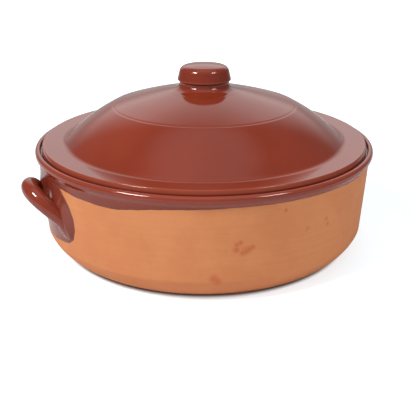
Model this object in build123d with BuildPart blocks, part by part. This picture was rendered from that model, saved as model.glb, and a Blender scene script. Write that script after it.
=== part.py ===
"""Lidded earthenware baking dish: thrown pot with two pulled ear handles, domed lid and knob."""
import os
from math import cos, radians, sin, tan

from build123d import *

os.makedirs("parts", exist_ok=True)

# Sizes in millimetres. Heights are above the ground that the flat base rests on, and a drop is
# measured down from the underside of the lip.
# Pot wall
base_r = 133.5
corner_height = 20.7
corner_bulge = 2.6
lip_bottom = 91.0
wall_r = 157.2
wall_draft = 3.5
wall = 8.0
floor = 9.0
inner_corner_radius = 24.0

# Rolled lip and the ledge inside it that carries the lid
lip_stand = 2.8
lip_height = 6.4
lip_swell = 1.2
lip_rounding = 1.4
lip_draft = 0.35
ledge_rise = 3.4

# Lid
lid_gap = 1.6
lid_lift_clearance = 0.3
lip_width = 4.6
brim_edge_thickness = 6.3
brim_rise = 1.2
brim_edge_rounding = 2.4
brim_core_chamfer = 0.9
brim_under_chamfer = 1.0
brim_width = 24.0
dome_fillet = 4.0
dome_bulge = 1.9
ring_r = 86.2
ring_height = 31.5
top_bulge = 0.7
ring_groove_radius = 1.2
ring_groove_depth = 0.35
dome_height = 44.9
lid_wall = 6.5
hollow_flare = 2.0

# Knob
knob_foot_r = 34.0
knob_seat_depth = 1.2
knob_seat_taper = 0.35
knob_neck_r = 23.3
knob_neck_height = 6.7
knob_flare_hollow = 1.1
knob_groove_height = 2.0
knob_overhang = 2.0
knob_cap_taper = 3.3
knob_cap_height = 12.8
knob_crown = 2.6
knob_shoulder = 5.0
knob_edge_chamfer = 0.7

# Glaze coats
glaze = 0.6
band_drop = 7.0
apron_bottom_drop = 67.0
apron_bottom_half = 28.0
apron_top_half = 17.0
apron_side_half = 50.5
apron_side_drop = 37.0

# Ear handles, as pulled rods whose ends are smeared down the wall
rod = 15.0
handle_reach = 22.8
handle_crown_drop = 17.4
# Stations from beside the crown to the end of a tail: angle from the handle's middle in degrees,
# stand off from the wall, drop, depth and width
handle_stations = [
    (3.0, 14.5, 18.4, rod, rod),
    (5.7, 10.4, 21.9, rod, rod),
    (8.4, 3.7, 33.0, 12.8, rod),
    (11.8, 1.0, 44.5, 9.0, 12.0),
    (14.2, -1.0, 52.0, 6.8, 9.6),
    (15.2, -4.0, 59.0, 4.5, 6.5),
]


def wall_radius(height):
    """Outside radius of the drafted wall at a height."""
    return wall_r - tan(radians(wall_draft)) * (lip_bottom - height)


corner_r = wall_radius(corner_height)
lip_r = wall_r + lip_stand
lip_top = lip_bottom + lip_height
ledge_z = lip_bottom + ledge_rise
band_z = lip_bottom - band_drop
apron_bottom = lip_bottom - apron_bottom_drop
apron_side_z = lip_bottom - apron_side_drop
lip_inner_r = lip_r - lip_width
lip_corners = [(lip_r, lip_bottom + lip_swell), (lip_r, lip_top), (lip_inner_r + lip_draft, lip_top)]
lid_r = lip_inner_r - lid_gap
dome_base_r = lid_r - brim_width
lid_bottom = ledge_z + lid_lift_clearance
brim_edge_z = lid_bottom + brim_edge_thickness
brim_z = brim_edge_z + brim_rise
ring_z = brim_edge_z + ring_height
dome_top_z = brim_edge_z + dome_height
seat_z = dome_top_z - knob_seat_depth
seat_r = knob_foot_r - knob_seat_taper
hidden_apex_z = dome_top_z + knob_neck_height / 2
knob_cap_r = knob_neck_r + knob_overhang
knob_cap_top_r = knob_cap_r - knob_cap_taper


def bulged(start, end, bulge):
    """Arc between two profile points that stands out from its chord by the bulge."""
    first, last = Vector(*start), Vector(*end)
    chord = last - first
    outward = Vector(chord.Y, -chord.X).normalized()
    return ThreePointArc(first, (first + last) * 0.5 + outward * bulge, last)


def inner_and_lip_line():
    """Line from the outer corner up the wall, over the sharp lip and ledge, and down inside to the axis."""
    Polyline(
        (corner_r, corner_height),
        (wall_r, lip_bottom),
        *lip_corners,
        (lip_inner_r, ledge_z),
        (wall_r - wall, ledge_z),
    )
    FilletPolyline(
        (wall_r - wall, ledge_z),
        (corner_r - wall, floor),
        (0, floor),
        radius=inner_corner_radius,
    )


def round_lip(section):
    """Rounds the outer corners of the lip in a sketch."""
    for corner in lip_corners:
        fillet(section.vertices().sort_by_distance(corner)[0], lip_rounding)


def dome_line():
    """Line over the lid from the hidden apex to the edge of the dome, without the brim."""
    Line((0, hidden_apex_z), (knob_foot_r, dome_top_z))
    bulged((ring_r, ring_z), (knob_foot_r, dome_top_z), top_bulge)
    bulged((dome_base_r, brim_z), (ring_r, ring_z), dome_bulge)


# Pot as one finished outline. The clay is what the glaze coat leaves of it.
with BuildSketch(Plane.XZ) as pot_section:
    with BuildLine():
        Line((0, 0), (base_r, 0))
        bulged((base_r, 0), (corner_r, corner_height), corner_bulge)
        inner_and_lip_line()
        Line((0, floor), (0, 0))
    make_face()
    round_lip(pot_section)

# Outside of the pot as a filled form, which trims what is pressed onto the wall
with BuildPart() as pot_form:
    with BuildSketch(Plane.XZ):
        with BuildLine():
            Polyline((0, lip_bottom), (0, 0), (base_r, 0))
            bulged((base_r, 0), (corner_r, corner_height), corner_bulge)
            Polyline((corner_r, corner_height), (wall_r, lip_bottom), (0, lip_bottom))
        make_face()
    revolve(axis=Axis.Z)

# Part of the outer wall that stays bare: all below the band but the aprons round the handles
with BuildPart() as bare_wall:
    with BuildSketch(Plane.XZ):
        with BuildLine():
            Polyline(
                (corner_r - wall / 2, 0),
                (lip_r, 0),
                (lip_r, band_z),
                (wall_radius(band_z) - wall / 2, band_z),
                close=True,
            )
        make_face()
    revolve(axis=Axis.Z)
    with BuildSketch(Plane.YZ):
        with BuildLine():
            right = Spline(
                (apron_bottom_half, apron_bottom),
                (apron_side_half, apron_side_z),
                (apron_top_half, band_z + glaze),
                tangents=[(1, 0.35), (-0.9, 0.45)],
            )
            mirror(right, about=Plane.YZ)
            Line((apron_bottom_half, apron_bottom), (-apron_bottom_half, apron_bottom))
            Line((apron_top_half, band_z + glaze), (-apron_top_half, band_z + glaze))
        make_face()
    extrude(amount=lip_r, both=True, mode=Mode.SUBTRACT)

with BuildPart() as pot_glaze:
    with BuildSketch(Plane.XZ) as coat_section:
        with BuildLine():
            inner_and_lip_line()
            offset(amount=glaze, side=Side.LEFT, kind=Kind.INTERSECTION, mode=Mode.REPLACE)
        make_face()
        round_lip(coat_section)
    revolve(axis=Axis.Z)
    add(bare_wall.part, mode=Mode.SUBTRACT)
pot_glaze.part.label = "pot_glaze"

with BuildPart() as pot_body:
    add(pot_section.sketch)
    revolve(axis=Axis.Z)
    add(pot_glaze.part, mode=Mode.SUBTRACT)
pot_body.part.label = "pot_body"


def on_wall(angle, stand_off, drop):
    """Point that stands off the outside of the wall, by its angle from the handle's middle."""
    height = lip_bottom - drop
    radius = wall_radius(height) + stand_off
    return Vector(radius * cos(radians(angle)), radius * sin(radians(angle)), height)


crown_station = (0, handle_reach - rod / 2, handle_crown_drop, rod, rod)
far_side = [(-angle, *rest) for angle, *rest in reversed(handle_stations)]
whole_handle = far_side + [crown_station] + handle_stations

with BuildPart() as handle_right:
    with BuildLine() as handle_run:
        Spline(*[on_wall(angle, off, drop) for angle, off, drop, _, _ in whole_handle])
    for angle, off, drop, depth, width in whole_handle:
        centre = on_wall(angle, off, drop)
        outward = (cos(radians(angle)), sin(radians(angle)), 0)
        section = Plane(origin=centre, x_dir=outward, z_dir=handle_run.line.edge().tangent_at(centre))
        with BuildSketch(section):
            Ellipse(depth / 2, width / 2)
    loft()
    add(pot_form.part, mode=Mode.SUBTRACT)
handle_right.part.label = "handle_right"

handle_left = Rot(0, 0, 180) * handle_right.part
handle_left.label = "handle_left"

# Lid as one finished outline, hollow underneath
with BuildPart() as lid_hollow:
    with BuildSketch(Plane.XZ):
        with BuildLine():
            dome_line()
            Polyline((dome_base_r, brim_z), (dome_base_r + hollow_flare, lid_bottom - 2 * lid_wall))
            mirror(about=Plane.YZ)
            Line(
                (dome_base_r + hollow_flare, lid_bottom - 2 * lid_wall),
                (-dome_base_r - hollow_flare, lid_bottom - 2 * lid_wall),
            )
        make_face()
        offset(amount=-lid_wall)
        split(bisect_by=Plane.YZ)
    revolve(axis=Axis.Z)

with BuildPart() as knob_seat:
    with BuildSketch(Plane.XZ):
        with BuildLine():
            Polyline(
                (0, seat_z),
                (seat_r, seat_z),
                (knob_foot_r, dome_top_z),
                (knob_foot_r, dome_top_z + lid_wall),
                (0, dome_top_z + lid_wall),
                close=True,
            )
        make_face()
    revolve(axis=Axis.Z)

with BuildSketch(Plane.XZ) as lid_outline:
    with BuildLine():
        dome_line()
        Polyline((dome_base_r, brim_z), (lid_r, brim_edge_z), (lid_r, lid_bottom))
        mirror(about=Plane.YZ)
        Line((lid_r, lid_bottom), (-lid_r, lid_bottom))
    make_face()

with BuildPart() as lid_form:
    with BuildSketch(Plane.XZ) as lid_section:
        add(lid_outline.sketch_local)
        split(bisect_by=Plane.YZ)
        fillet(lid_section.vertices().sort_by_distance((dome_base_r, brim_z))[0], dome_fillet)
        fillet(lid_section.vertices().sort_by_distance((lid_r, brim_edge_z))[0], brim_edge_rounding)
        with Locations((ring_r, ring_z + ring_groove_radius - ring_groove_depth)):
            Circle(ring_groove_radius, mode=Mode.SUBTRACT)
    revolve(axis=Axis.Z)
    rim_edge = lid_form.edges().filter_by(GeomType.CIRCLE).group_by(Axis.Z)[0]
    chamfer(rim_edge, brim_under_chamfer)
    add(knob_seat.part, mode=Mode.SUBTRACT)

with BuildPart() as lid_core:
    with BuildSketch(Plane.XZ) as core_section:
        add(lid_outline.sketch_local)
        with Locations((0, lid_bottom)):
            Rectangle(2 * lid_r, 2 * glaze)
        offset(amount=-glaze, kind=Kind.INTERSECTION)
        split(bisect_by=Plane.YZ)
        chamfer(core_section.vertices().sort_by_distance((lid_r, brim_edge_z))[0], brim_core_chamfer)
    revolve(axis=Axis.Z)

with BuildPart() as lid_glaze:
    add(lid_form.part)
    add(lid_core.part, mode=Mode.SUBTRACT)
lid_glaze.part.label = "lid_glaze"

with BuildPart() as lid_body:
    add(lid_form.part)
    add(lid_glaze.part, mode=Mode.SUBTRACT)
    add(lid_hollow.part, mode=Mode.SUBTRACT)
lid_body.part.label = "lid_body"

# Knob, thrown as one with its flared foot and luted into a shallow seat in the lid
neck_z = dome_top_z + knob_neck_height
cap_z = neck_z + knob_groove_height
cap_top_z = cap_z + knob_cap_height
with BuildPart() as lid_knob:
    with BuildSketch(Plane.XZ) as knob_section:
        with BuildLine():
            Polyline((0, cap_top_z + knob_crown), (0, seat_z), (seat_r, seat_z), (knob_foot_r, dome_top_z))
            bulged((knob_foot_r, dome_top_z), (knob_neck_r, neck_z), -knob_flare_hollow)
            Polyline(
                (knob_neck_r, neck_z),
                (knob_neck_r, cap_z),
                (knob_cap_r, cap_z),
                (knob_cap_top_r, cap_top_z),
            )
            TangentArc((0, cap_top_z + knob_crown), (knob_cap_top_r, cap_top_z), tangent=(1, 0))
        make_face()
        fillet(knob_section.vertices().sort_by_distance((knob_cap_top_r, cap_top_z))[0], knob_shoulder)
        chamfer(knob_section.vertices().sort_by_distance((knob_cap_r, cap_z))[0], knob_edge_chamfer)
    revolve(axis=Axis.Z)
lid_knob.part.label = "lid_knob"

pieces = (
    pot_body.part,
    pot_glaze.part,
    handle_left,
    handle_right.part,
    lid_body.part,
    lid_glaze.part,
    lid_knob.part,
)
for piece in pieces:
    export_step(piece, f"parts/{piece.label}.step")
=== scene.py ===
"""Looks of a lidded earthenware baking dish: bare clay outside, red glaze inside and on the lid."""
from math import cos, pi, radians, sin, tan

import bmesh
import bpy
import numpy as np
from mathutils import Matrix, Vector


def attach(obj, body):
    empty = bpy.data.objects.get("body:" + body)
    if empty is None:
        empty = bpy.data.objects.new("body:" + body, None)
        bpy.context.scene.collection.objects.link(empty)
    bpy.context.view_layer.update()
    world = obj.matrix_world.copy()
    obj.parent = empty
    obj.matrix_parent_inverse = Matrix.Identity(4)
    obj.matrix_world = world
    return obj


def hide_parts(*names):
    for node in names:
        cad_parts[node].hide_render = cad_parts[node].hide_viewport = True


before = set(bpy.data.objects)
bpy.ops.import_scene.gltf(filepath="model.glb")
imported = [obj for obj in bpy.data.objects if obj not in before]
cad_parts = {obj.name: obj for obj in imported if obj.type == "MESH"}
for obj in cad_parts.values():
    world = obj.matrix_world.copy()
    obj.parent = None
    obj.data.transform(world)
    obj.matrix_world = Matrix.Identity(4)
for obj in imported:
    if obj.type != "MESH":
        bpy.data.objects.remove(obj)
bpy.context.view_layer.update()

# Sizes are in millimetres, and the finished meshes in metres
MM = 0.001

# Pot
BASE_R = 133.5
CORNER_Z = 20.7
CORNER_BULGE = 2.6
LIP_BOTTOM = 91.0
WALL_R = 157.2
WALL_SLOPE = tan(radians(3.5))
WALL = 8.0
FLOOR = 9.0
INNER_CORNER_R = 24.0
LIP_R = 160.0
LIP_TOP = 97.4
LEDGE_Z = 94.4
LIP_INNER_R = 155.4
LIP_FOOT_Z = 85.6
CLAY_TOP_Z = 88.0

# Lid
LID_R = 153.8
LID_BOTTOM = 94.7
BRIM_EDGE_Z = 101.0
BRIM_Z = 102.2
DOME_R = 129.8
RING_R = 86.2
RING_Z = 132.5
RING_IN = (RING_R - 1.0, RING_Z + 0.36)
RING_OUT = (RING_R + 0.9, RING_Z - 0.3)
RING_BULGE = 0.16
DOME_TOP_Z = 145.9
DOME_BULGE = 1.6
TOP_BULGE = 0.7
LID_WALL = 6.5

# Knob
FOOT_R = 34.0
SEAT_Z = DOME_TOP_Z - 1.2
FLARE_R = 31.0
NECK_R = 23.3
NECK_Z = 152.6
CAP_R = 25.3
CAP_Z = 154.6
CAP_TOP_Z = 167.4
KNOB_CROWN = 2.6
DOME_SLOPE = 0.205

# Mesh density
ARC_STEPS = 9
RUN_END = 0.35
POT_RUN, BASE_RUN, BRIM_RUN, RIM_RUN, CAP_RUN, KNOB_FOOT_RUN = 9.0, 8.0, 2.5, 3.0, 1.5, 4.0
COAT_CORNER_POINTS, CLAY_CORNER_POINTS = 16, 22
TOP_POINTS, GROOVE_POINTS, SIDE_POINTS = 34, 9, 40
HOLLOW_TOP_POINTS, HOLLOW_SIDE_POINTS = 30, 34
CROWN_POINTS, FLARE_POINTS = 16, 28
COAT_ROW = 1.15
CLAY_ROW = 0.9
CLAY_COLUMNS = 400
LID_COLUMNS = 480
KNOB_COLUMNS = 192
HANDLE_RINGS = 150
HANDLE_SIDES = 56
FILLET_RINGS = 220

# Piece, the node that it stands for, degrees round the pot, seeds of its lumps and of its apron's edge
HANDLES = (
    ("handle_ear_left", "handle_left", 180, 5, 5),
    ("handle_ear_right", "handle_right", 0, 8, 11),
)


def wall_radius(z):
    return WALL_R - WALL_SLOPE * (LIP_BOTTOM - z)


CORNER_R = wall_radius(CORNER_Z)


# Profiles, as lines of (radius, height) points
def arc(start, end, bulge, count):
    """Points on the arc from start to end that stands out to the right of its chord by the bulge."""
    a, b = np.array(start, float), np.array(end, float)
    chord = b - a
    length = np.linalg.norm(chord)
    along = chord / length
    side = np.array([along[1], -along[0]])
    radius = (length**2 / 4 + bulge**2) / (2 * abs(bulge))
    half = np.arcsin(length / 2 / radius)
    t = np.linspace(-half, half, count)
    out = np.sign(bulge) * (np.cos(t) * radius - radius * np.cos(half))
    return (a + b) / 2 + np.outer(np.sin(t) * radius, along) + np.outer(out, side)


def rounded(corners, step):
    """Dense line through (r, z, fillet radius) corners, with points at least every step on its runs."""
    pts = [np.array(c[:2], float) for c in corners]
    line = [pts[0]]
    for i in range(1, len(pts) - 1):
        before, here, after = pts[i - 1], pts[i], pts[i + 1]
        u = (before - here) / np.linalg.norm(before - here)
        v = (after - here) / np.linalg.norm(after - here)
        radius = corners[i][2] if len(corners[i]) > 2 else 0
        turn = np.arccos(np.clip(-u @ v, -1, 1))
        if radius <= 0 or turn < 1e-4:
            line.append(here)
            continue
        first = here + u * radius * tan(turn / 2)
        middle = here + (u + v) / np.linalg.norm(u + v) * radius / cos(turn / 2)
        spoke = first - middle
        sign = 1 if u[0] * v[1] - u[1] * v[0] < 0 else -1
        for k in range(ARC_STEPS + 1):
            c, s = cos(turn * k / ARC_STEPS), sin(turn * k / ARC_STEPS) * sign
            line.append(middle + np.array([spoke[0] * c - spoke[1] * s, spoke[0] * s + spoke[1] * c]))
    line.append(pts[-1])
    return resample(line, step)


def resample(line, step):
    """Adds points on the long runs of a line, with one close to each end of a run."""
    out = [np.array(line[0], float)]
    for a, b in zip(line[:-1], line[1:]):
        a, b = np.array(a, float), np.array(b, float)
        length = np.linalg.norm(b - a)
        if length < 1e-6:
            continue
        if length > step:
            count = int(np.ceil(length / step))
            stops = [RUN_END / length] + [k / count for k in range(1, count)] + [1 - RUN_END / length]
            out += [a + (b - a) * t for t in stops]
        out.append(b)
    return np.array(out)


def normals_of(line):
    """Unit normals to the right of a line."""
    d = np.gradient(line, axis=0)
    d /= np.linalg.norm(d, axis=1)[:, None]
    return np.column_stack([d[:, 1], -d[:, 0]])


def bell(line, r, z, spread):
    """1 at a place on a profile, falling off with the squared distance from it."""
    return np.exp(-((line[:, 0] - r) ** 2 + (line[:, 1] - z) ** 2) / spread)


def waves(angles, amount, counts, seed):
    """Slow wobble round the dish, as a hand-thrown piece has."""
    rng = np.random.RandomState(seed)
    total = np.zeros_like(angles)
    for n in counts:
        total += np.sin(n * angles + rng.uniform(0, 2 * pi)) * rng.uniform(0.6, 1.0) / len(counts)
    return total * amount


def throwing_marks(count, amount, seed):
    """Random steps along a profile, as fingers leave in turning clay."""
    steps = np.random.RandomState(seed).normal(0, 1, count + 4)
    return np.convolve(steps, np.ones(5) / 5, "valid") * amount


# Meshes
def mesh_object(name, points, faces, body, node, attributes):
    mesh = bpy.data.meshes.new(name)
    mesh.from_pydata([tuple(p) for p in points * MM], [], faces)
    for key, values in attributes.items():
        layer = mesh.attributes.new(key, "FLOAT", "POINT")
        layer.data.foreach_set("value", np.asarray(values, np.float32))
    bm = bmesh.new()
    bm.from_mesh(mesh)
    bmesh.ops.recalc_face_normals(bm, faces=bm.faces)
    bm.to_mesh(mesh)
    bm.free()
    mesh.shade_smooth()
    obj = bpy.data.objects.new(name, mesh)
    bpy.context.scene.collection.objects.link(obj)
    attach(obj, body)
    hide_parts(node)


def lathe(name, radii, heights, angles, body, node, attributes):
    """Closed surface through rows of points round the axis; the first and last row are one point each."""
    rows, cols = radii.shape
    everywhere = np.stack([radii * np.cos(angles), radii * np.sin(angles), heights], axis=2)
    rings = everywhere[1:-1].reshape(-1, 3)
    points = np.vstack([[[0, 0, heights[0, 0]]], rings, [[0, 0, heights[-1, 0]]]])
    last = len(points) - 1
    ring_index = np.arange(1, last).reshape(rows - 2, cols).tolist()
    index = [[0] * cols, *ring_index, [last] * cols]
    faces = []
    for low, high in zip(index[:-1], index[1:]):
        for j in range(cols):
            k = (j + 1) % cols
            corners = (low[j], low[k], high[k], high[j])
            faces.append([c for n, c in enumerate(corners) if c != corners[n - 1]])
    values = {}
    for key, v in attributes.items():
        values[key] = np.concatenate([v[0, :1], v[1:-1].ravel(), v[-1, :1]])
    mesh_object(name, points, faces, body, node, values)


def revolve_line(name, line, node, columns=LID_COLUMNS, attributes=None):
    """Piece of the lid, turned from one profile that starts and ends on the axis."""
    angles = np.linspace(0, 2 * pi, columns, endpoint=False)
    radii = np.tile(line[:, :1], (1, columns))
    radii[0] = radii[-1] = 0
    values = {key: np.tile(v[:, None], (1, columns)) for key, v in (attributes or {}).items()}
    lathe(name, radii, np.tile(line[:, 1:], (1, columns)), angles, "lid", node, values)


# Lower edge of the glaze band: degrees round the pot, height
BAND = [
    (3, 83.1), (20, 84.3), (41, 87.4), (60, 88.2), (83, 86.4), (101, 88.5), (118, 87.2), (137, 86.0),
    (155, 83.6), (170, 82.2), (182, 82.3), (192, 82.3), (200.3, 80.6), (206.6, 80.1), (212.1, 79.5),
    (217.5, 79.8), (223.5, 82.5), (233.8, 85.5), (243.4, 86.5), (253.7, 88.1), (266, 88.3), (279.5, 88.5),
    (287.5, 89.2), (294.4, 87.0), (303.5, 86.8), (310.4, 89.2), (322, 86.5), (338, 84.2), (352, 83.2),
]
BAND_RIPPLE = 0.35
# One side of the apron round a handle: degrees from the handle's middle, height
APRON = [
    (4.4, 90.0), (5.6, 84.2), (8.6, 82.0), (11.9, 80.2), (15.1, 73.0), (17.0, 65.0), (17.8, 57.0),
    (17.9, 51.0), (17.4, 43.0), (15.9, 36.0), (12.8, 31.2), (8.8, 28.6), (4.8, 26.8), (0.0, 25.4),
]
OTHER_SIDE_WIDTH = 0.97
OTHER_SIDE_RISE = 0.6
APRON_REACH = 24
APRON_RIPPLE = 0.5
APRON_BLEND = 4.0
MM_PER_DEGREE = 2 * pi * 155.0 / 360


def degrees_from(centre, angles_deg):
    return (angles_deg - centre + 180) % 360 - 180


def band_edge(angle_deg):
    """Height of the band's lower edge, with the corners of its outline smoothed."""
    dense = np.arange(0, 360, 0.5)
    values = np.interp(dense, *zip(*BAND), period=360)
    kernel = np.exp(-np.linspace(-2, 2, 13) ** 2)
    around = len(kernel) // 2
    values = np.concatenate([values[-around:], values, values[:around]])
    return np.interp(angle_deg, dense, np.convolve(values, kernel / kernel.sum(), "valid"), period=360)


def smooth_closed(points, per_span=5):
    """Smooth closed line through the points, made of cubic spans."""
    p = np.array(points, float)
    out = []
    for i in range(len(p)):
        a, b, c, d = p[i - 1], p[i], p[(i + 1) % len(p)], p[(i + 2) % len(p)]
        for t in np.arange(per_span) / per_span:
            squared, cubed = 2 * a - 5 * b + 4 * c - d, 3 * b - a - 3 * c + d
            out.append(0.5 * (2 * b + (c - a) * t + squared * t**2 + cubed * t**3))
    return np.array(out)


def signed_distance(x, y, outline):
    """Distance in millimetres to a closed outline, positive inside."""
    best = np.full(x.shape, np.inf)
    inside = np.zeros(x.shape, bool)
    for (ax, ay), (bx, by) in zip(outline, np.roll(outline, -1, axis=0)):
        dx, dy = bx - ax, by - ay
        t = np.clip(((x - ax) * dx + (y - ay) * dy) / (dx * dx + dy * dy + 1e-12), 0, 1)
        best = np.minimum(best, np.hypot(x - ax - t * dx, y - ay - t * dy))
        crosses = (ay > y) != (by > y)
        at = ax + (y - ay) * dx / (dy if abs(dy) > 1e-12 else 1e-12)
        inside ^= crosses & (x < at)
    return np.where(inside, best, -best)


def smooth_max(a, b, k):
    h = np.clip(0.5 + 0.5 * (a - b) / k, 0, 1)
    return b * (1 - h) + a * h + k * h * (1 - h)


def glaze_depth(angles, heights):
    """How far inside the glazed area a point of the outer wall is, in millimetres."""
    deg = np.degrees(angles) % 360
    depth = heights - band_edge(deg) + waves(angles, BAND_RIPPLE, (31, 47, 73), 4)
    one_side = [(s * MM_PER_DEGREE, z) for s, z in APRON]
    other_side = [(-x * OTHER_SIDE_WIDTH, z + OTHER_SIDE_RISE) for x, z in reversed(one_side[:-1])]
    outline = smooth_closed(one_side + other_side)
    for _, _, centre, _, seed in HANDLES:
        away = degrees_from(centre, deg)
        near = np.abs(away) < APRON_REACH
        x, z = away[near] * MM_PER_DEGREE, heights[near]
        patch = signed_distance(x, z, outline) + waves(z / 9 + x / 13, APRON_RIPPLE, (2, 5), seed)
        depth[near] = smooth_max(depth[near], patch, APRON_BLEND)
    return depth


# Handles, from one tail to the other: degrees from the middle, distance of the rod's middle
# from the wall, height, depth and width of the rod
STATIONS = np.array([
    (-15.2, -4.0, 32.0, 4.5, 6.5),
    (-14.2, -1.0, 39.0, 6.8, 9.6),
    (-11.8, 1.0, 46.5, 9.0, 12.0),
    (-8.4, 3.7, 59.0, 12.8, 15.0),
    (-5.7, 9.4, 70.0, 15.0, 15.0),
    (-3.0, 13.2, 73.6, 15.0, 15.0),
    (0.0, 14.8, 73.4, 15.2, 15.0),
    (3.0, 14.1, 71.2, 15.6, 15.2),
    (5.7, 11.2, 67.0, 15.6, 15.4),
    (8.4, 6.4, 60.6, 15.0, 15.6),
    (10.8, 2.2, 53.6, 12.4, 15.0),
    (12.3, 0.0, 47.0, 9.4, 13.0),
    (13.0, -1.2, 40.0, 7.0, 10.4),
    (12.8, -3.8, 32.5, 4.5, 7.0),
])
LUMPS = 0.22
FILLET = 13.0
FILLET_PROUD_SHARE = 0.8


def natural_spline(t, y, at):
    """Natural cubic spline through y at t, for each column of y."""
    n = len(t)
    h = np.diff(t)
    a = np.zeros((n, n))
    b = np.zeros((n, y.shape[1]))
    a[0, 0] = a[-1, -1] = 1
    for i in range(1, n - 1):
        a[i, i - 1], a[i, i], a[i, i + 1] = h[i - 1], 2 * (h[i - 1] + h[i]), h[i]
        b[i] = 6 * ((y[i + 1] - y[i]) / h[i] - (y[i] - y[i - 1]) / h[i - 1])
    m = np.linalg.solve(a, b)
    i = np.clip(np.searchsorted(t, at) - 1, 0, n - 2)
    left, right, span = (at - t[i])[:, None], (t[i + 1] - at)[:, None], h[i][:, None]
    return (
        m[i] * right**3 / (6 * span)
        + m[i + 1] * left**3 / (6 * span)
        + (y[i] / span - m[i] * span / 6) * right
        + (y[i + 1] / span - m[i + 1] * span / 6) * left
    )


def unit(vectors):
    return vectors / np.linalg.norm(vectors, axis=1)[:, None]


def handle_line(centre, rings):
    """Points along the middle of a handle's rod, with its half sizes and its outward and sideways axes."""
    angle, off, height, depth, width = STATIONS.T
    angle = np.radians(angle)
    radius = wall_radius(height) + off
    middles = np.column_stack([radius * np.cos(angle), radius * np.sin(angle), height])
    t = np.concatenate([[0], np.cumsum(np.linalg.norm(np.diff(middles, axis=0), axis=1))])
    at = np.linspace(0, t[-1], rings)
    line = natural_spline(t, middles, at)
    sizes = []
    for size in (depth, width):
        along = np.pad(np.interp(at, t, size), 4, "edge")
        sizes.append(np.convolve(along, np.ones(9) / 9, "valid") / 2)
    tangent = unit(np.gradient(line, axis=0))
    outward = unit(line * np.array([1, 1, 0]))
    outward = unit(outward - tangent * (outward * tangent).sum(1)[:, None])
    across = np.cross(tangent, outward)
    c, s = cos(radians(centre)), sin(radians(centre))
    spin = np.array([[c, -s, 0], [s, c, 0], [0, 0, 1]])
    return line @ spin.T, np.column_stack(sizes), outward @ spin.T, across @ spin.T


def make_handle(name, node, centre, seed):
    line, sizes, outward, across = handle_line(centre, HANDLE_RINGS)
    around = np.linspace(0, 2 * pi, HANDLE_SIDES, endpoint=False)
    lumps = waves(np.linspace(0, 6, len(line)), LUMPS, (1, 2.3, 4.1), seed)
    rings = []
    for i in range(len(line)):
        ring = line[i] + np.outer(np.cos(around) * (sizes[i, 0] + lumps[i]), outward[i])
        ring += np.outer(np.sin(around) * (sizes[i, 1] - lumps[i]), across[i])
        rings.append(ring)
    points = np.concatenate(rings + [line[:1], line[-1:]])
    first, last = len(points) - 2, len(points) - 1
    end_ring = (len(line) - 1) * HANDLE_SIDES
    faces = []
    for j in range(HANDLE_SIDES):
        k = (j + 1) % HANDLE_SIDES
        for low in range(0, end_ring, HANDLE_SIDES):
            high = low + HANDLE_SIDES
            faces.append((low + j, low + k, high + k, high + j))
        faces += [(first, k, j), (last, end_ring + j, end_ring + k)]
    plain = np.zeros(len(points))
    mesh_object(name, points, faces, "pot", node, {"thin_and_highlight": plain, "wash": plain})


def handle_fillet(x, y, z, centre):
    """Height of the clay smeared up against a handle, over points of the wall."""
    line, sizes, outward, across = handle_line(centre, FILLET_RINGS)
    p = np.column_stack([x, y, z])
    nearest = ((p[:, None, :] - line[None, :, :]) ** 2).sum(2).argmin(1)
    off = p - line[nearest]
    u = (off * outward[nearest]).sum(1)
    v = (off * across[nearest]).sum(1)
    a, b = sizes[nearest].T
    stretch = np.hypot(u / a, v / b) + 1e-9
    free = np.clip(np.hypot(u, v) * (1 - 1 / stretch), 0, FILLET)
    proud = np.hypot(line[nearest, 0], line[nearest, 1]) + a - wall_radius(line[nearest, 2])
    return np.minimum(FILLET / 4 * (1 - free / FILLET) ** 2, np.clip(proud * FILLET_PROUD_SHARE, 0, None))


# Pot
DENSE_REACH = 26
FILLET_REACH = 25
DENSE_COLUMN = 0.45
SPARSE_COLUMNS = 112
COAT_WALL_TOP = 84.8
COAT_CORNER_ROWS = 6
ROWS_UNDER_LIP = 6
COAT_START = LIP_BOTTOM - 0.4
COAT_FADE = 3.0
COAT_PROUD, COAT_PROUD_RUN = 0.3, 1.1
COAT_SUNK, COAT_SUNK_RUN = 0.5, 1.4
COAT_THICKNESS, LIP_COAT_THICKNESS = 0.9, 0.6
WELL_INSIDE = 9.0
EDGE_WASH, INNER_WASH, WASH_RUN = 0.65, 0.35, 4.0
LIP_SHADE = 2.6
# How far the clay lies under the glaze's face
SINK, INNER_SINK = 0.6, 0.5
CLAY_MARKS, CLAY_MARKS_LIMIT, MARKS_TWIST = 0.07, 0.06, 0.09
MARKED_R, MARKED_Z, INSIDE_ROWS = 120, 3, 60


def column_angles():
    """Column angles, closer together round the handles."""
    fine = np.arange(-DENSE_REACH, DENSE_REACH, DENSE_COLUMN)
    coarse = np.linspace(DENSE_REACH, 180 - DENSE_REACH, SPARSE_COLUMNS, endpoint=False)
    half = np.concatenate([fine, coarse])
    return np.sort(np.radians(np.concatenate([half, half + 180]) % 360))


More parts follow.
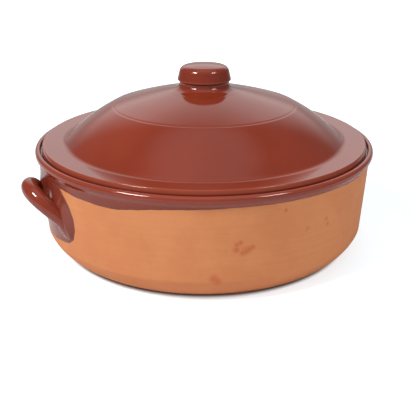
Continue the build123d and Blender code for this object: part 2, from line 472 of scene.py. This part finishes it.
def make_pot_coat():
    angles = column_angles()
    inside = rounded(
        [
            (0, FLOOR),
            (CORNER_R - WALL, FLOOR, INNER_CORNER_R),
            (WALL_R - WALL, LEDGE_Z, 1.5),
            (LIP_INNER_R, LEDGE_Z, 0.75),
            (LIP_INNER_R - 0.3, LIP_TOP, 1.3),
            (LIP_R, LIP_TOP, 3.2),
            (LIP_R, LIP_BOTTOM + 1.2, 2.0),
            (WALL_R - 0.1, LIP_BOTTOM - 3.2, 5.0),
            (wall_radius(LIP_FOOT_Z), LIP_FOOT_Z),
        ],
        POT_RUN,
    )
    wall_z = np.arange(COAT_WALL_TOP, CORNER_Z + 0.2, -COAT_ROW)
    corner = arc((CORNER_R, CORNER_Z), (BASE_R, 0), -CORNER_BULGE, COAT_CORNER_POINTS)[:COAT_CORNER_ROWS]
    line = np.vstack([inside, np.column_stack([wall_radius(wall_z), wall_z]), corner])
    normal = -normals_of(line)
    rows, cols = len(line), len(angles)
    grid = np.tile(angles, (rows, 1))
    radius, height = (np.tile(line[:, n : n + 1], (1, cols)) for n in (0, 1))

    outside = (np.arange(rows) >= len(inside) - ROWS_UNDER_LIP)[:, None] & (height < COAT_START)
    depth = np.full((rows, cols), WELL_INSIDE)
    depth[outside] = glaze_depth(grid[outside], height[outside])
    proud = COAT_PROUD * np.tanh(depth / COAT_PROUD_RUN)
    sunk = COAT_SUNK * np.tanh(depth / COAT_SUNK_RUN)
    fade = np.clip((COAT_START - height) / COAT_FADE, 0, 1)
    stand = np.where(outside, np.where(depth > 0, proud, sunk) * fade, 0)
    for _, _, centre, _, _ in HANDLES:
        near = outside & (np.abs(degrees_from(centre, np.degrees(grid))) < FILLET_REACH)
        x, y = radius[near] * np.cos(grid[near]), radius[near] * np.sin(grid[near])
        under_glaze = np.clip((depth[near] + 0.3) / 4.0, 0, 1)
        stand[near] += handle_fillet(x, y, height[near], centre) * under_glaze

    hidden = line - normal * np.where(line[:, 1] < LIP_BOTTOM, COAT_THICKNESS, LIP_COAT_THICKNESS)[:, None]
    hidden = np.repeat(hidden[np.r_[0:rows:4, rows - 1]][::-1, :, None], cols, axis=2)
    radii = np.vstack([radius + normal[:, :1] * stand, hidden[:, 0]])
    radii[0] = radii[-1] = 0
    heights = np.vstack([height + normal[:, 1:] * stand, hidden[:, 1]])
    below_lip = np.clip((LIP_BOTTOM - LIP_SHADE - height) / LIP_SHADE, 0, 1)
    near_edge = np.exp(-np.maximum(depth, 0) / WASH_RUN)
    wash = np.where(outside, below_lip * (INNER_WASH + EDGE_WASH * near_edge), 0)
    # Lip's top outer corner lighter: partly thin glaze, partly a painted highlight
    thin_and_highlight = np.tile(bell(line, LIP_R, LIP_TOP, 2.2)[:, None], (1, cols))
    pad = np.zeros((len(radii) - rows, cols))
    attributes = {"wash": np.vstack([wash, pad]), "thin_and_highlight": np.vstack([thin_and_highlight, pad])}
    lathe("pot_coat", radii, heights, angles, "pot", "pot_glaze", attributes)


def make_pot_clay():
    inside = rounded(
        [
            (wall_radius(88.4) - 0.2, 88.6),
            (WALL_R - SINK, LIP_BOTTOM, 1.0),
            (LIP_R - SINK, LIP_BOTTOM + 1.6, 1.0),
            (LIP_R - SINK, LIP_TOP - SINK, 1.6),
            (LIP_INNER_R + 0.9, LIP_TOP - SINK, 1.6),
            (LIP_INNER_R + INNER_SINK, LEDGE_Z - SINK, 0.5),
            (WALL_R - WALL + SINK, LEDGE_Z - SINK, 1.0),
            (CORNER_R - WALL + INNER_SINK, FLOOR - INNER_SINK, INNER_CORNER_R),
            (0, FLOOR - INNER_SINK),
        ],
        POT_RUN,
    )
    base = rounded([(0, 0), (BASE_R - 3, 0), (BASE_R + 0.2, 0.1, 0.8), (BASE_R + 2.2, 1.3)], BASE_RUN)
    corner = arc((BASE_R, 0), (CORNER_R, CORNER_Z), CORNER_BULGE, CLAY_CORNER_POINTS)[2:]
    wall_z = np.arange(CORNER_Z + 0.8, CLAY_TOP_Z, CLAY_ROW)
    line = np.vstack([base, corner, np.column_stack([wall_radius(wall_z), wall_z]), inside])
    on_wall = (line[:, 0] > MARKED_R) & (line[:, 1] > MARKED_Z) & (line[:, 1] < CLAY_TOP_Z)
    on_wall &= np.arange(len(line)) < len(line) - INSIDE_ROWS
    marks = throwing_marks(len(line), CLAY_MARKS, 9) * on_wall
    angles = np.linspace(0, 2 * pi, CLAY_COLUMNS, endpoint=False)
    drift = 0.5 + 0.5 * np.sin(angles * 2 + line[:, 1:] * MARKS_TWIST)
    out = np.minimum(marks[:, None] * drift, CLAY_MARKS_LIMIT)
    normal = normals_of(line)
    radii, heights = line[:, :1] + normal[:, :1] * out, line[:, 1:] + normal[:, 1:] * out
    radii[0] = radii[-1] = 0
    lathe("pot_clay", radii, heights, angles, "pot", "pot_body", {})


# Lid
LID_COAT_THICKNESS = 0.6
# Amount of painted highlight, with thin glaze, on the ring's upper edge
RING_THIN_AND_HIGHLIGHT = 0.25
LID_MARKS = 0.1
HOLLOW_ROWS = 60
HOLLOW_R, HOLLOW_TOP_Z = RING_R - 2, RING_Z - LID_WALL + 0.3


def make_lid():
    top = arc((FOOT_R, DOME_TOP_Z), RING_IN, -TOP_BULGE, TOP_POINTS)
    groove = arc(RING_IN, RING_OUT, RING_BULGE, GROOVE_POINTS)
    side = arc(RING_OUT, (DOME_R - 3.0, BRIM_Z + 3.0), -DOME_BULGE, SIDE_POINTS)[1:]
    brim = rounded(
        [
            tuple(side[-1]),
            (DOME_R + 2.8, BRIM_EDGE_Z - 0.85, 8.0),
            (LID_R - 1.3, BRIM_EDGE_Z, 0.9),
            (LID_R, BRIM_EDGE_Z - 3.2, 2.0),
            (LID_R, LID_BOTTOM, 1.2),
            (LID_R - 4.0, LID_BOTTOM + 0.02),
        ],
        BRIM_RUN,
    )
    under_knob = [[0, DOME_TOP_Z + 0.6], [FOOT_R - 4, DOME_TOP_Z + 0.3]]
    shown = np.vstack([under_knob, top, groove[1:], side, brim[1:]])
    hidden = shown + normals_of(shown) * LID_COAT_THICKNESS
    hidden = np.vstack([hidden[:0:-2], hidden[:1]])
    # Brim's outer edge and the ring's upper edge lighter: partly thin glaze, partly a painted highlight
    ring = RING_THIN_AND_HIGHLIGHT * np.exp(-((shown[:, 0] - RING_R + 0.6) ** 2) / 0.5)
    thin_and_highlight = np.clip(bell(shown, LID_R, BRIM_EDGE_Z, 5.0) + ring, 0, 1)
    thin_and_highlight = np.concatenate([thin_and_highlight, np.zeros(len(hidden))])
    attributes = {"thin_and_highlight": thin_and_highlight, "wash": np.zeros(len(thin_and_highlight))}
    revolve_line("lid_coat", np.vstack([shown, hidden]), "lid_glaze", attributes=attributes)

    hollow_top = arc((0, DOME_TOP_Z - LID_WALL + 1.5), (HOLLOW_R, HOLLOW_TOP_Z), 1.0, HOLLOW_TOP_POINTS)
    hollow_side = arc((HOLLOW_R, HOLLOW_TOP_Z), (DOME_R - 8.0, BRIM_Z - 2.0), -4.0, HOLLOW_SIDE_POINTS)[1:]
    rim = rounded(
        [
            tuple(hollow_side[-1]),
            (DOME_R - 6.0, LID_BOTTOM + 2, 3.0),
            (DOME_R - 5.2, LID_BOTTOM, 1.2),
            (LID_R - SINK, LID_BOTTOM, 1.0),
            (LID_R - SINK, BRIM_EDGE_Z - 3.6, 1.5),
            (LID_R - 2.0, BRIM_EDGE_Z - 0.7, 1.5),
            (DOME_R + 2.6, BRIM_EDGE_Z - 1.6, 7.5),
            (DOME_R - 3.4, BRIM_Z + 2.4),
        ],
        RIM_RUN,
    )
    under_side = (side - np.array([0.3, 0.5]))[::-2]
    under_top = (top - np.array([0, SINK]))[::-2]
    clay = np.vstack([hollow_top, hollow_side, rim[1:], under_side, under_top, [[0, DOME_TOP_Z - 0.2]]])
    marks = throwing_marks(len(clay), LID_MARKS, 3)
    marks[HOLLOW_ROWS:] = 0
    clay[:, 1] += marks
    revolve_line("lid_clay", clay, "lid_body")


def dome_height(r):
    """Height of the dome near the knob's foot, where it is nearly a cone."""
    return DOME_TOP_Z + DOME_SLOPE * (FOOT_R - r)


def make_knob():
    crown = arc((0, CAP_TOP_Z + KNOB_CROWN), (18.2, CAP_TOP_Z + 0.95), -0.42, CROWN_POINTS)
    neck = np.array([NECK_R, NECK_Z + 0.2])
    cap = rounded(
        [
            tuple(crown[-1]),
            (22.4, CAP_TOP_Z - 0.2, 6.5),
            (CAP_R, CAP_Z + 0.4, 1.1),
            (NECK_R + 0.2, CAP_Z, 0.5),
            tuple(neck),
        ],
        CAP_RUN,
    )
    t = np.linspace(0, 1, FLARE_POINTS)[:, None]
    flare_end = np.array([FLARE_R, dome_height(FLARE_R) + 0.12])
    leaving, landing = np.array([0.4, -10.5]), np.array([8.5, -8.5 * DOME_SLOPE])
    flare = (2 * t**3 - 3 * t**2 + 1) * neck + (t**3 - 2 * t**2 + t) * leaving
    flare += (3 * t**2 - 2 * t**3) * flare_end + (t**3 - t**2) * landing
    rim = (FOOT_R + 4.0, dome_height(FOOT_R + 4.0) - 0.2)
    foot = rounded([rim, (FOOT_R + 0.4, SEAT_Z - 0.4), (0, SEAT_Z)], KNOB_FOOT_RUN)
    line = np.vstack([crown, cap[1:], flare[1:], [[FOOT_R + 1.5, dome_height(FOOT_R + 1.5) + 0.03]], foot])
    # Cap's lower edge lighter: partly thin glaze, partly a painted highlight
    thin_and_highlight = bell(line, CAP_R - 0.3, CAP_Z + 0.7, 1.0)
    attributes = {"thin_and_highlight": thin_and_highlight, "wash": np.zeros(len(thin_and_highlight))}
    revolve_line("knob", line, "lid_knob", KNOB_COLUMNS, attributes)


make_pot_coat()
make_pot_clay()
for piece_name, node_name, degrees_round, lump_seed, _ in HANDLES:
    make_handle(piece_name, node_name, degrees_round, lump_seed)
make_lid()
make_knob()


# Materials
def new_material(name):
    mat = bpy.data.materials.new(name)
    mat.use_nodes = True
    tree = mat.node_tree
    tree.nodes.clear()
    out = tree.nodes.new("ShaderNodeOutputMaterial")
    shader = tree.nodes.new("ShaderNodeBsdfPrincipled")
    tree.links.new(shader.outputs[0], out.inputs[0])
    return mat, tree, shader


def put(tree, kind, links=None, **values):
    """Adds a node; links maps inputs to outputs or constants, and values sets the node's properties."""
    node = tree.nodes.new(kind)
    for key, value in values.items():
        setattr(node, key, value)
    for key, source in (links or {}).items():
        if isinstance(source, bpy.types.NodeSocket):
            tree.links.new(source, node.inputs[key])
        else:
            node.inputs[key].default_value = source
    return node


def noise(tree, coords, scale, detail=3.0, rough=0.55, stretch=(1, 1, 1), distortion=0.0):
    at = put(tree, "ShaderNodeMapping", {"Vector": coords, "Scale": stretch}).outputs[0]
    inputs = {"Vector": at, "Scale": scale, "Detail": detail, "Roughness": rough, "Distortion": distortion}
    return put(tree, "ShaderNodeTexNoise", inputs).outputs["Fac"]


def remap(tree, value, span, result, smooth=False):
    """Turns the span's two ends into the result's two, and stays within the result."""
    (low, high), (at_low, at_high) = span, result
    inputs = {"Value": value, "From Min": low, "From Max": high, "To Min": at_low, "To Max": at_high}
    kind = "SMOOTHSTEP" if smooth else "LINEAR"
    return put(tree, "ShaderNodeMapRange", inputs, interpolation_type=kind).outputs[0]


def mix(tree, factor, a, b):
    """Mixes two colours; a is a colour or an output, and b is a colour."""
    a = a if isinstance(a, bpy.types.NodeSocket) else (*a, 1.0)
    return put(tree, "ShaderNodeMix", {0: factor, 6: a, 7: (*b, 1.0)}, data_type="RGBA").outputs[2]


def maths(tree, operation, a, b=0.0):
    return put(tree, "ShaderNodeMath", {0: a, 1: b}, operation=operation).outputs[0]


def vector_maths(tree, operation, a, b=(0, 0, 0)):
    return put(tree, "ShaderNodeVectorMath", {0: a, 1: b}, operation=operation).outputs["Value"]


def bumped(tree, height, strength, distance):
    inputs = {"Height": height, "Strength": strength, "Distance": distance}
    return put(tree, "ShaderNodeBump", inputs).outputs[0]


CLAY = (0.67, 0.240, 0.091)
CLAY_LIGHT = (0.72, 0.278, 0.110)
CLAY_DEEP = (0.60, 0.212, 0.080)
CLAY_RED = (0.56, 0.14, 0.052)
# Noise scales, in features per metre
MOTTLE, GRAIN, TURNING, PATCHES = 17.0, 260.0, 6.0, 70.0
TURNING_STRETCH = (1.2, 1.2, 52.0)
TURNING_DEPTH, GRAIN_DEPTH = 0.42, 0.35
# Places of the reddish marks on the wall: x, y, z and size in millimetres
SMUDGES = [
    (-39.7, -149.3, 47.6, 5.2), (-37.4, -150.0, 48.9, 5.9), (-35.0, -150.6, 50.3, 5.2),
    (-32.2, -151.3, 51.6, 3.9), (-45.0, -148.0, 50.4, 4.7), (-44.8, -148.3, 54.8, 3.9),
    (-42.0, -149.0, 56.4, 3.9), (-61.0, -140.3, 24.5, 6.5), (-58.4, -141.2, 22.4, 5.9),
    (-5.4, -156.5, 80.4, 3.0), (17.6, -154.1, 59.4, 3.8), (38.6, -150.5, 62.5, 3.8),
    (41.0, -149.8, 57.4, 3.2), (70.0, 138.0, 44.0, 6.5), (-120.0, 95.0, 60.0, 5.2),
]


def clay_material():
    mat, tree, shader = new_material("bare_clay")
    at = put(tree, "ShaderNodeTexCoord").outputs["Object"]
    mottle = noise(tree, at, MOTTLE, 5.0, 0.6)
    grain = noise(tree, at, GRAIN, 3.0, 0.65)
    turning = noise(tree, at, TURNING, 3.0, 0.6, stretch=TURNING_STRETCH)
    colour = mix(tree, remap(tree, mottle, (0.38, 0.62), (0.0, 1.0), smooth=True), CLAY, CLAY_LIGHT)
    colour = mix(tree, remap(tree, turning, (0.36, 0.7), (0.0, 0.2), smooth=True), colour, CLAY_DEEP)
    colour = mix(tree, remap(tree, grain, (0.56, 0.74), (0.0, 0.3)), colour, CLAY_DEEP)
    spots = 0.0
    for x, y, z, size in SMUDGES:
        away = vector_maths(tree, "DISTANCE", at, (x * MM, y * MM, z * MM))
        spot = remap(tree, away, (size * MM, 0.0), (0.0, 1.0), smooth=True)
        spots = maths(tree, "MAXIMUM", spots, spot)
    patches = noise(tree, at, PATCHES, 4.0, 0.7, distortion=1.5)
    strength = remap(tree, patches, (0.28, 0.5), (0.15, 0.85), smooth=True)
    colour = mix(tree, maths(tree, "MULTIPLY", spots, strength), colour, CLAY_RED)
    tree.links.new(colour, shader.inputs["Base Color"])
    tree.links.new(remap(tree, mottle, (0.3, 0.7), (0.62, 0.78)), shader.inputs["Roughness"])
    shader.inputs["Specular IOR Level"].default_value = 0.35
    turned = maths(tree, "MULTIPLY", turning, TURNING_DEPTH)
    height = maths(tree, "ADD", turned, maths(tree, "MULTIPLY", grain, GRAIN_DEPTH))
    tree.links.new(bumped(tree, height, 0.35, 0.5 * MM), shader.inputs["Normal"])
    return mat


GLAZE = (0.262, 0.0375, 0.0165)
GLAZE_DEEP = (0.218, 0.0295, 0.0125)
# Lighter glaze for edges: partly glaze run thin over the edge, partly a painted highlight
GLAZE_THIN_AND_HIGHLIGHT = (0.36, 0.075, 0.036)
GLAZE_WASH = (0.20, 0.044, 0.029)
# Noise scales, in features per metre
CLOUDS, SPECKS, BLOTCHES, RIPPLES, FINE_RIPPLES = 9.0, 420.0, 55.0, 34.0, 300.0


def glaze_material():
    """Red glaze: lighter where the edge attribute is 1, which is partly thin glaze and partly a painted
    highlight; dull and dark where wash is 1.
    """
    mat, tree, shader = new_material("red_glaze")
    at = put(tree, "ShaderNodeTexCoord").outputs["Object"]
    thin_and_highlight = put(tree, "ShaderNodeAttribute", attribute_name="thin_and_highlight").outputs["Fac"]
    wash = put(tree, "ShaderNodeAttribute", attribute_name="wash").outputs["Fac"]
    clouds = noise(tree, at, CLOUDS)
    specks = noise(tree, at, SPECKS, 2.0, 0.6)
    colour = mix(tree, remap(tree, clouds, (0.3, 0.7), (0.0, 1.0), smooth=True), GLAZE_DEEP, GLAZE)
    colour = mix(tree, remap(tree, specks, (0.6, 0.75), (0.0, 0.35)), colour, GLAZE_DEEP)
    # Edges made lighter: thin glaze there, and a painted highlight along them
    colour = mix(tree, remap(tree, thin_and_highlight, (0.0, 1.0), (0.0, 0.7)), colour, GLAZE_THIN_AND_HIGHLIGHT)
    blotches = noise(tree, at, BLOTCHES, 3.0, 0.6)
    dry = maths(tree, "MULTIPLY", wash, remap(tree, blotches, (0.3, 0.7), (0.7, 1.0)))
    colour = mix(tree, dry, colour, GLAZE_WASH)
    tree.links.new(colour, shader.inputs["Base Color"])
    tree.links.new(remap(tree, dry, (0.0, 1.0), (0.09, 0.34)), shader.inputs["Roughness"])
    tree.links.new(remap(tree, dry, (0.0, 1.0), (0.5, 0.3)), shader.inputs["Specular IOR Level"])
    shader.inputs["IOR"].default_value = 1.5
    ripples = noise(tree, at, RIPPLES, 2.0, 0.5)
    fine = noise(tree, at, FINE_RIPPLES, 2.0, 0.5)
    height = maths(tree, "ADD", ripples, maths(tree, "MULTIPLY", fine, 0.05))
    tree.links.new(bumped(tree, height, 0.12, 0.6 * MM), shader.inputs["Normal"])
    return mat


clay, glaze = clay_material(), glaze_material()
for piece_name, material in (
    ("pot_clay", clay), ("lid_clay", clay), ("pot_coat", glaze), ("lid_coat", glaze), ("knob", glaze),
    ("handle_ear_left", glaze), ("handle_ear_right", glaze),
):
    bpy.data.objects[piece_name].data.materials.append(material)

# Camera, as far round the dish, as high and as far away as for the photo
FRAME_PX = 415
FOCAL_PX = 730.35
SENSOR = 36.0
TURN = radians(26.5)
PITCH, YAW, ROLL = 0.3816, 0.0049, 0.003
DISTANCE, EYE_HEIGHT = 0.680, 0.29849
spin = Matrix.Rotation(-TURN, 3, "Z")
forward = Vector((sin(YAW) * cos(PITCH), cos(YAW) * cos(PITCH), -sin(PITCH)))
right = Vector((cos(YAW), -sin(YAW), 0))
up = right.cross(forward)
right, up = right * cos(ROLL) + up * sin(ROLL), up * cos(ROLL) - right * sin(ROLL)
place = spin @ Vector((0, -DISTANCE, EYE_HEIGHT))
camera_data = bpy.data.cameras.new("camera")
camera_data.sensor_width = SENSOR
camera_data.lens = FOCAL_PX / FRAME_PX * SENSOR
camera = bpy.data.objects.new("camera", camera_data)
axes = spin @ Matrix((right, up, -forward)).transposed()
camera.matrix_world = Matrix.Translation(place) @ axes.to_4x4()
bpy.context.scene.collection.objects.link(camera)
bpy.context.scene.camera = camera


# Light: two softboxes and the room
LAMP_ELEVATION = radians(48)
LAMP_DISTANCE = 1.9
LAMP_HEIGHT = 0.32


def softbox(name, azimuth, width, power):
    """Lamp turned to the dish, so many degrees to the camera's right."""
    data = bpy.data.lights.new(name, "AREA")
    data.shape = "RECTANGLE"
    data.size = width
    data.size_y = LAMP_HEIGHT
    data.energy = power
    lamp = bpy.data.objects.new(name, data)
    a, e = radians(azimuth), LAMP_ELEVATION
    lamp.location = spin @ Vector((sin(a) * cos(e), -cos(a) * cos(e), sin(e))) * LAMP_DISTANCE
    lamp.rotation_euler = (-lamp.location).to_track_quat("-Z", "Y").to_euler()
    bpy.context.scene.collection.objects.link(lamp)


softbox("softbox_left", azimuth=-56, width=0.54, power=24)
softbox("softbox_right", azimuth=54, width=0.5, power=9)

WHITE = (1, 1, 1, 1)
ROOM_LEVEL = 0.17
BACKDROP_LEVEL = 1.0
FRONT_LEVEL = 0.12
CEILING_LEVEL = 0.55
# Where the lit parts fade in and out: cosines of the angle round from the back, sines of the elevation
BACKDROP_SIDE = (0.70, 0.975)
BACKDROP_FOOT, FOOT_LEVEL = (0.15, 0.33), 0.35
BACKDROP_TOP = (0.55, 0.90)
FRONT_SIDE = (0.25, -0.6)
CEILING_EDGE = (0.84, 0.97)


def make_world():
    """Dim room with a bright backdrop, a paler ceiling and a weak front, all white to the camera."""
    world = bpy.data.worlds.new("studio")
    bpy.context.scene.world = world
    world.use_nodes = True
    tree = world.node_tree
    tree.nodes.clear()
    direction = put(tree, "ShaderNodeTexCoord").outputs["Generated"]
    facing = vector_maths(tree, "DOT_PRODUCT", direction, tuple(spin @ Vector((0, 1, 0))))
    rise = put(tree, "ShaderNodeSeparateXYZ", {0: direction}).outputs["Z"]
    level_run = maths(tree, "SQRT", maths(tree, "SUBTRACT", 1.0, maths(tree, "MULTIPLY", rise, rise)))
    aligned = maths(tree, "DIVIDE", facing, maths(tree, "MAXIMUM", level_run, 0.001))
    across = remap(tree, aligned, BACKDROP_SIDE, (0.0, BACKDROP_LEVEL), smooth=True)
    above_floor = remap(tree, rise, BACKDROP_FOOT, (FOOT_LEVEL, 1.0), smooth=True)
    below_top = remap(tree, rise, BACKDROP_TOP, (1.0, 0.0), smooth=True)
    backdrop = maths(tree, "MULTIPLY", maths(tree, "MULTIPLY", across, above_floor), below_top)
    front = remap(tree, facing, FRONT_SIDE, (0.0, FRONT_LEVEL), smooth=True)
    ceiling = remap(tree, rise, CEILING_EDGE, (0.0, CEILING_LEVEL), smooth=True)
    level = maths(tree, "ADD", maths(tree, "ADD", backdrop, ceiling), maths(tree, "ADD", front, ROOM_LEVEL))
    room = put(tree, "ShaderNodeBackground", {"Color": WHITE, "Strength": level})
    white = put(tree, "ShaderNodeBackground", {"Color": WHITE, "Strength": 1.0})
    seen = put(tree, "ShaderNodeLightPath").outputs["Is Camera Ray"]
    both = put(tree, "ShaderNodeMixShader", {0: seen, 1: room.outputs[0], 2: white.outputs[0]})
    put(tree, "ShaderNodeOutputWorld", {0: both.outputs[0]})


make_world()

FLOOR_COLOUR = (0.82, 0.82, 0.83, 1)
SHOWN_FLOOR_COLOUR = (0.67, 0.80, 0.87, 1)
FLOOR_REACH = 6.0
FLOOR_Z = -0.0002
CONTACT_RING = ((BASE_R + 1.0) * MM, (BASE_R + 8.0) * MM)
FAR_OFF = (0.28, 0.75)
FLOOR_GLOW, FAR_GLOW = 0.57, 0.45


def make_floor():
    """Pale floor, white to the camera but for the dish's shadow and the dark line where the dish stands."""
    mesh = bpy.data.meshes.new("floor")
    corners = [(-1, -1), (1, -1), (1, 1), (-1, 1)]
    mesh.from_pydata([(x * FLOOR_REACH, y * FLOOR_REACH, FLOOR_Z) for x, y in corners], [], [(0, 1, 2, 3)])
    floor = bpy.data.objects.new("floor", mesh)
    bpy.context.scene.collection.objects.link(floor)
    mat, tree, shader = new_material("floor")
    shader.inputs["Base Color"].default_value = FLOOR_COLOUR
    shader.inputs["Roughness"].default_value = 0.6
    shader.inputs["Specular IOR Level"].default_value = 0.2
    at = put(tree, "ShaderNodeTexCoord").outputs["Object"]
    from_middle = vector_maths(tree, "LENGTH", at)
    near_glow = remap(tree, from_middle, CONTACT_RING, (0.0, FLOOR_GLOW), smooth=True)
    far_glow = remap(tree, from_middle, FAR_OFF, (0.0, FAR_GLOW), smooth=True)
    strength = maths(tree, "ADD", near_glow, far_glow)
    glow = put(tree, "ShaderNodeEmission", {"Color": WHITE, "Strength": strength})
    matt = put(tree, "ShaderNodeBsdfDiffuse", {"Color": SHOWN_FLOOR_COLOUR})
    shown = put(tree, "ShaderNodeAddShader", {0: matt.outputs[0], 1: glow.outputs[0]})
    seen = put(tree, "ShaderNodeLightPath").outputs["Is Camera Ray"]
    both = put(tree, "ShaderNodeMixShader", {0: seen, 1: shader.outputs[0], 2: shown.outputs[0]})
    tree.links.new(both.outputs[0], tree.nodes["Material Output"].inputs[0])
    mesh.materials.append(mat)


make_floor()

bpy.context.scene.view_settings.view_transform = "Standard"
